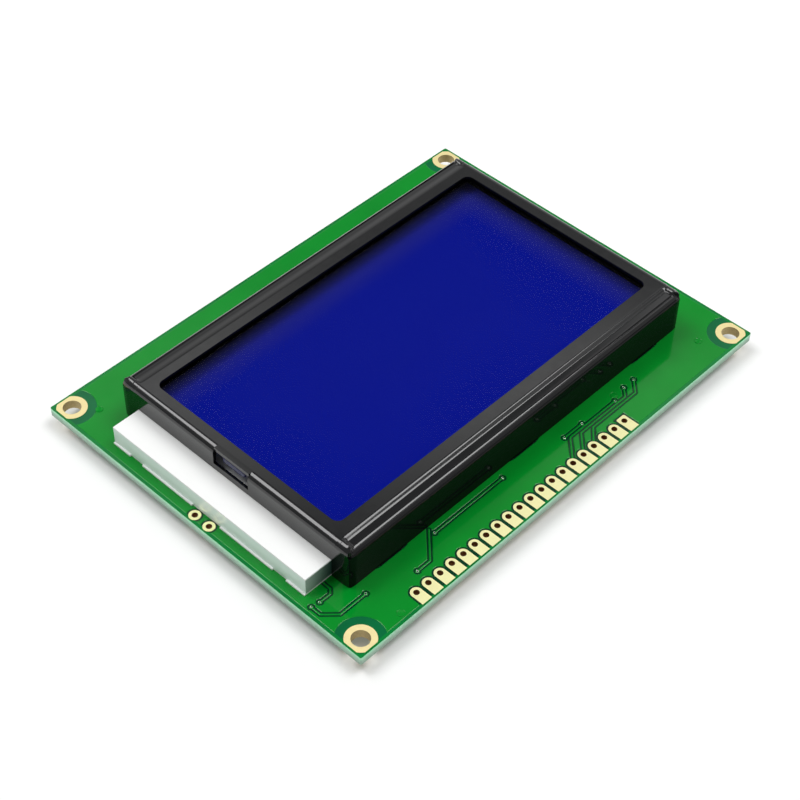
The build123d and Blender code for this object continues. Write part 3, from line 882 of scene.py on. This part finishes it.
class LCDMODULE_OT_screen(Operator):
    """Make the clear cell, and finish the blue polarizer and the filling port's plug."""

    bl_idname = "lcdmodule.screen"
    bl_label = "Screen"

    def execute(self, context):
        settings = context.scene.lcdmodule_screen
        cell = piece_from(stacked_cell(), "clear_cell", clear_finish(0.2, 1.12), 5.0)
        handed_over(cell, "cell_glass", "front_polarizer", "front_glass", "rear_glass")

        blue, tree, shader = surface("blue_polarizer", IOR=1.5, Roughness=0.35,
                                     Specular_IOR_Level=0.0)
        colour = mixed(tree, speckle(tree, 16.0, 2.0), settings.screen_colour,
                       shade(settings.screen_colour, 0.96))
        axes = split_axes(tree, "Object")
        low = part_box("rear_polarizer")[0]
        # Painted shade and painted reflection: over 7 mm towards the low X and low Y rims the blue
        # turns darker and greyer.
        for axis, start in (("X", low.x), ("Y", low.y)):
            painted_rim_ramp = ranged(tree, axes[axis], start, start + 7.0 * MM)
            colour = mixed(tree, painted_rim_ramp, (0.018, 0.02, 0.17), colour)
        # Painted shade: the blue falls to near black over 3 mm at the low Y rim, under the bezel's
        # shadow.
        painted_light_share = ranged(tree, axes["Y"], low.y, low.y + 3.0 * MM, settings.painted_rim_shade, 1.0)
        colour = mixed(tree, painted_light_share, (0.006, 0.007, 0.012), colour)
        tree.links.new(colour, shader.inputs["Base Color"])
        relief(tree, shader, speckle(tree, 0.3, 2.0), 0.002, 0.3)
        dress("rear_polarizer", blue)

        resin, tree, shader = surface("port_resin", IOR=1.5, Roughness=0.2)
        mottled(tree, shader, 0.8, (0.004, 0.008, 0.06), (0.01, 0.015, 0.1))
        relief(tree, shader, speckle(tree, 0.5), 0.03, 0.6)
        dress("fill_port_plug", resin)
        return {"FINISHED"}


class LCDMODULE_OT_zebra_strips(Operator):
    """Finish the contact strips in fine dark and pale layers."""

    bl_idname = "lcdmodule.zebra_strips"
    bl_label = "Contact strips"

    def execute(self, context):
        rubber, tree, shader = surface("zebra_rubber", Roughness=0.7)
        bands = fed(tree, "ShaderNodeTexWave", ("bands_direction", "X"), Scale=1200.0,
                    Distortion=0.0, Vector=place(tree))
        tree.links.new(mixed(tree, bands.outputs["Fac"], (0.03, 0.03, 0.035), (0.72, 0.72, 0.68)),
                       shader.inputs["Base Color"])
        relief(tree, shader, speckle(tree, 0.2), 0.01, 0.5)
        dress("zebra_strip_lower", rubber)
        dress("zebra_strip_upper", rubber)
        return {"FINISHED"}


# Backlight

class LCDMODULE_OT_backlight(Operator):
    """Finish the light guide, its white sheets, and the lamps on their board."""

    bl_idname = "lcdmodule.backlight"
    bl_label = "Backlight"

    def execute(self, context):
        film, tree, shader = surface("white_film", IOR=1.45)
        mottled(tree, shader, 4.0, (0.9, 0.91, 0.9), (0.86, 0.87, 0.86), 5.0)
        uneven(tree, shader, 1.0, 0.45, 0.6)
        relief(tree, shader, speckle(tree, 0.4, 3.0), 0.006, 0.4)
        for node in ("backlight_cover_film", "backlight_diffuser", "backlight_reflector"):
            dress(node, film)

        guide, tree, shader = surface("light_guide_plastic", IOR=1.49)
        clear = mixed(tree, speckle(tree, 3.0, 4.0), (0.78, 0.92, 0.85), (0.84, 0.96, 0.91))
        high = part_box("backlight_light_guide")[1]
        # Painted shade and painted reflection: the guide's Y-facing sides darken towards the bezel, in
        # place of the dark wall they mirror.
        depth = ranged(tree, split_axes(tree, "Object")["X"], high.x - 5.2 * MM, high.x - 0.4 * MM)
        shaded_side = mixed(tree, depth, (0.04, 0.09, 0.08), (0.33, 0.42, 0.38))
        tree.links.new(mixed(tree, facing(tree, "Y"), clear, shaded_side), shader.inputs["Base Color"])
        uneven(tree, shader, 5.0, 0.18, 0.26)
        relief(tree, shader, speckle(tree, 1.2, 2.0), 0.004, 0.3)
        dress("backlight_light_guide", guide)

        bar, tree, shader = surface("lamp_board", IOR=1.5, Roughness=0.35)
        mottled(tree, shader, 0.6, (0.85, 0.85, 0.8), (0.75, 0.76, 0.7))
        dress("backlight_led_board", bar)

        lamp, tree, shader = surface("lamp_housing", IOR=1.5, Roughness=0.3)
        mottled(tree, shader, 0.5, (0.9, 0.86, 0.5), (0.85, 0.8, 0.4))
        dress("backlight_leds", lamp)

        dress("backlight_pins", tin_finish("tinned_wire", 0.4))
        return {"FINISHED"}


def tin_finish(name, grain):
    """Tin with a soft grain of this size in millimetres."""
    tin, tree, shader = surface(name, Metallic=1.0)
    mottled(tree, shader, grain, (0.78, 0.78, 0.79), (0.6, 0.6, 0.62))
    uneven(tree, shader, grain / 2, 0.22, 0.42)
    relief(tree, shader, speckle(tree, grain / 2), 0.01, 0.4)
    return tin


# Underside

CHIP_CAP = 0.42 * MM
CHIP_SKIN = 0.03 * MM
SOLDER_REACH = 0.32 * MM


def turned(name, material, profile, centres, sides=24):
    """Closed round forms from one profile of (radius, height) points, at each centre."""
    form = bmesh.new()
    for centre in centres:
        rings = []
        for radius, height in profile:
            angles = [2 * math.pi * number / sides for number in range(sides)]
            rings.append([form.verts.new(Vector((radius * math.cos(a), radius * math.sin(a), height))
                                         + centre) for a in angles])
        skinned(form, rings)
    bmesh.ops.recalc_face_normals(form, faces=form.faces)
    return piece_from(form, name, material, 50.0)


class LCDMODULE_OT_chips(Operator):
    """Finish the chips under resin, and make the small parts, their ends and their solder."""

    bl_idname = "lcdmodule.chips"
    bl_label = "Chips and small parts"

    def execute(self, context):
        resin, tree, shader = surface("black_resin", IOR=1.5)
        mottled(tree, shader, 3.0, (0.012, 0.012, 0.013), (0.022, 0.022, 0.024))
        uneven(tree, shader, 1.0, 0.3, 0.55)
        relief(tree, shader, speckle(tree, 1.6, 4.0), 0.05, 0.4)
        for node in ("controller_chip_blob", "driver_chip_blob_left", "driver_chip_blob_right"):
            dress(node, resin)

        bar = bar_tree()
        solder = tin_finish("bright_solder", 0.5)
        caps = []
        for node, name, slot, colours in (
                ("smd_resistors", "resistor_bodies", "resistor_body",
                 ((0.015, 0.015, 0.016), (0.03, 0.03, 0.032))),
                ("smd_capacitors", "capacitor_bodies", "capacitor_body",
                 ((0.42, 0.27, 0.15), (0.5, 0.34, 0.2)))):
            body, tree, shader = surface(name.replace("bodies", "finish"), IOR=1.5, Roughness=0.4)
            mottled(tree, shader, 0.3, *colours)
            boxes = solid_boxes(node)
            length, width, height = boxes[0][1] - boxes[0][0]
            inner = repeated(bar, name, [(low + high) / 2 for low, high in boxes],
                             Length=length - CHIP_CAP, Width=width - 2 * CHIP_SKIN,
                             Height=height - CHIP_SKIN, Edge_radius=0.06 * MM, Finish=body)
            handed_over(inner, slot, node)
            caps.append(self.ends(bar, boxes, name.split("_")[0] + "_ends", solder))
        for piece in caps:
            handed_over(piece, "tinned_wire")
        self.solder_joints(bar, solder)
        return {"FINISHED"}

    def ends(self, bar, boxes, name, solder):
        """Metal caps over both ends of each small part."""
        length, width, height = boxes[0][1] - boxes[0][0]
        places = []
        for low, high in boxes:
            middle = (low + high) / 2
            for side in (-1, 1):
                places.append(middle + Vector((side * (length - CHIP_CAP) / 2, 0.0, 0.0)))
        return repeated(bar, name, places, Length=CHIP_CAP, Width=width, Height=height,
                        Edge_radius=0.1 * MM, Finish=solder)

    def solder_joints(self, bar, solder):
        """Solder against each small part's ends and round the backlight's two pins."""
        places = []
        for node in ("smd_resistors", "smd_capacitors"):
            for low, high in solid_boxes(node):
                middle = (low + high) / 2
                for side in (-1, 1):
                    reach_x = (high.x - low.x) / 2 + SOLDER_REACH / 2
                    places.append((middle.x + side * reach_x, middle.y, high.z - 0.13 * MM))
        fillets = repeated(bar, "small_part_solder", places, Length=SOLDER_REACH,
                           Width=1.2 * MM, Height=0.26 * MM, Edge_radius=0.12 * MM, Finish=solder)
        handed_over(fillets, "tinned_wire")
        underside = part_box("back_copper_layer")[0].z
        centres = []
        for low, high in solid_boxes("backlight_pins"):
            centres.append(Vector(((low.x + high.x) / 2, (low.y + high.y) / 2, underside)))
        radius = (high.x - low.x) / 2
        profile = [(radius * wide, -0.9 * MM * tall) for wide, tall in (
            (2.4, 0.0), (2.0, 0.12), (1.55, 0.3), (1.25, 0.6), (1.1, 0.85), (1.0, 1.0))]
        handed_over(turned("pin_solder", solder, profile, centres), "tinned_wire")


# Studio

FLOOR_GLOW = 0.1
BACKDROP_STRENGTH = 2.0


class LCDMODULE_OT_studio(Operator):
    """Lay the floor, hang the softboxes and set the camera."""

    bl_idname = "lcdmodule.studio"
    bl_label = "Studio"

    def execute(self, context):
        settings = context.scene.lcdmodule_studio
        self.lay_floor(settings)
        self.light_world(context.scene)
        self.hang_softboxes(settings)
        self.set_camera(context.scene, settings)
        context.scene.view_settings.view_transform = "Standard"
        return {"FINISHED"}

    def lay_floor(self, settings):
        half = settings.floor_size / 2
        mesh = bpy.data.meshes.new("studio_floor")
        mesh.from_pydata([(-half, -half, 0.0), (half, -half, 0.0), (half, half, 0.0),
                          (-half, half, 0.0)], [], [(0, 1, 2, 3)])
        floor = linked_piece("studio_floor", mesh)
        paper = bpy.data.materials.new("white_paper")
        tree = emptied(paper)
        diffuse = fed(tree, "ShaderNodeBsdfDiffuse", Color=mixed(
            tree, speckle(tree, 40.0), (0.8, 0.8, 0.8), (0.79, 0.79, 0.79)))
        glow = fed(tree, "ShaderNodeEmission", Color=(1.0, 1.0, 1.0, 1.0),
                   Strength=combined(tree, "MULTIPLY", seen_rays(tree), FLOOR_GLOW))
        added = fed(tree, "ShaderNodeAddShader", _0=diffuse.outputs["BSDF"],
                    _1=glow.outputs["Emission"])
        fed(tree, "ShaderNodeOutputMaterial", Surface=added.outputs["Shader"])
        mesh.materials.append(paper)
        floor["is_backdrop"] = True

    def light_world(self, scene):
        world = bpy.data.worlds.new("studio_world")
        tree = emptied(world)
        axes = split_axes(tree, "Generated")
        backdrop = self.grey_ramp(tree, axes["Z"], [
            (0.0, 0.35), (0.5, 0.28), (0.62, 0.18), (0.675, 0.16), (0.7, 0.62), (0.725, 0.62),
            (0.77, 0.12), (1.0, 0.12)])
        opposite = self.grey_ramp(tree, axes["Z"], [(0.0, 0.15), (0.6, 0.15), (1.0, 0.12)])
        behind = combined(tree, "ADD", combined(tree, "MULTIPLY", axes["X"], -0.73),
                          combined(tree, "MULTIPLY", axes["Y"], -0.68))
        level = mixed(tree, ranged(tree, behind, -0.2, 0.25), opposite, backdrop)
        gradient = fed(tree, "ShaderNodeBackground", Strength=BACKDROP_STRENGTH, Color=level)
        white = fed(tree, "ShaderNodeBackground", Strength=1.0, Color=(1.0, 1.0, 1.0, 1.0))
        rays = tree.nodes.new("ShaderNodeLightPath")
        blend = fed(tree, "ShaderNodeMixShader", Fac=rays.outputs["Is Camera Ray"],
                    _1=gradient.outputs["Background"], _2=white.outputs["Background"])
        fed(tree, "ShaderNodeOutputWorld", Surface=blend.outputs["Shader"])
        scene.world = world

    def grey_ramp(self, tree, height, stops):
        """Grey levels by the height that a ray looks at."""
        ramp = tree.nodes.new("ShaderNodeValToRGB")
        elements = ramp.color_ramp.elements
        while len(elements) < len(stops):
            elements.new(0.5)
        for element, (position, grey) in zip(elements, stops):
            element.position = position
            element.color = (grey, grey, grey, 1.0)
        tree.links.new(height, ramp.inputs["Fac"])
        return ramp.outputs["Color"]

    def hang_softboxes(self, settings):
        for name, direction in (("softbox_left", (0.2, -0.42, 0.88)),
                                ("softbox_right", (-0.33, 0.2, 0.92))):
            lamp = bpy.data.lights.new(name, "AREA")
            lamp.shape = "SQUARE"
            lamp.size = settings.lamp_side
            lamp.energy = settings.lamp_power
            box = bpy.data.objects.new(name, lamp)
            aim = Vector(direction).normalized()
            box.matrix_world = (Matrix.Translation(aim * settings.lamp_distance)
                                @ aim.to_track_quat("Z", "Y").to_matrix().to_4x4())
            bpy.context.scene.collection.objects.link(box)

    def set_camera(self, scene, settings):
        azimuth, elevation = settings.camera_azimuth, settings.camera_elevation
        back = Vector((math.sin(azimuth) * math.cos(elevation),
                       -math.cos(azimuth) * math.cos(elevation), math.sin(elevation)))
        right = Vector((math.cos(azimuth), math.sin(azimuth), 0.0))
        roll = Matrix.Rotation(settings.camera_roll, 3, back)
        right = roll @ right
        up = back.cross(right)
        lens = bpy.data.cameras.new("studio_camera")
        lens.lens = settings.lens
        lens.sensor_width = 36.0
        camera = bpy.data.objects.new("studio_camera", lens)
        turn = Matrix((right, up, back)).transposed().to_4x4()
        camera.matrix_world = Matrix.Translation(settings.camera_place) @ turn
        scene.collection.objects.link(camera)
        scene.camera = camera


def seen_rays(tree):
    """1 for rays that look at a surface directly, by reflection or through glass."""
    rays = tree.nodes.new("ShaderNodeLightPath")
    seen = combined(tree, "MAXIMUM", rays.outputs["Is Camera Ray"], rays.outputs["Is Glossy Ray"])
    return combined(tree, "MAXIMUM", seen, rays.outputs["Is Transmission Ray"])


class LCDMODULE_PT_sidebar(Panel):
    """Lists the module's pieces and its studio."""

    bl_label = "LCD module"
    bl_idname = "LCDMODULE_PT_sidebar"
    bl_space_type = "VIEW_3D"
    bl_region_type = "UI"
    bl_category = "LCD module"

    def draw(self, context):
        for operator in OPERATORS:
            self.layout.operator(operator.bl_idname)
        for name in SETTINGS:
            box = self.layout.box()
            group = getattr(context.scene, name)
            for prop in group.bl_rna.properties:
                if prop.identifier not in ("name", "rna_type"):
                    box.prop(group, prop.identifier)


OPERATORS = (
    LCDMODULE_OT_circuit_board,
    LCDMODULE_OT_gold_pads,
    LCDMODULE_OT_bezel,
    LCDMODULE_OT_screen,
    LCDMODULE_OT_zebra_strips,
    LCDMODULE_OT_backlight,
    LCDMODULE_OT_chips,
    LCDMODULE_OT_studio,
)
SETTINGS = {
    "lcdmodule_board": BoardSettings,
    "lcdmodule_screen": ScreenSettings,
    "lcdmodule_studio": StudioSettings,
}


def register():
    for group in (*SETTINGS.values(), *OPERATORS, LCDMODULE_PT_sidebar):
        bpy.utils.register_class(group)
    for name, group in SETTINGS.items():
        setattr(bpy.types.Scene, name, PointerProperty(type=group))


def unregister():
    for name in SETTINGS:
        delattr(bpy.types.Scene, name)
    for group in reversed((*SETTINGS.values(), *OPERATORS, LCDMODULE_PT_sidebar)):
        bpy.utils.unregister_class(group)


def main():
    register()
    for operator in OPERATORS:
        area, name = operator.bl_idname.split(".")
        getattr(getattr(bpy.ops, area), name)()
    boxes = {"cad": cad_box, "visual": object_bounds()}
    plain = {name: [list(corner) for corner in box] for name, box in boxes.items()}


if __name__ == "__main__":
    main()
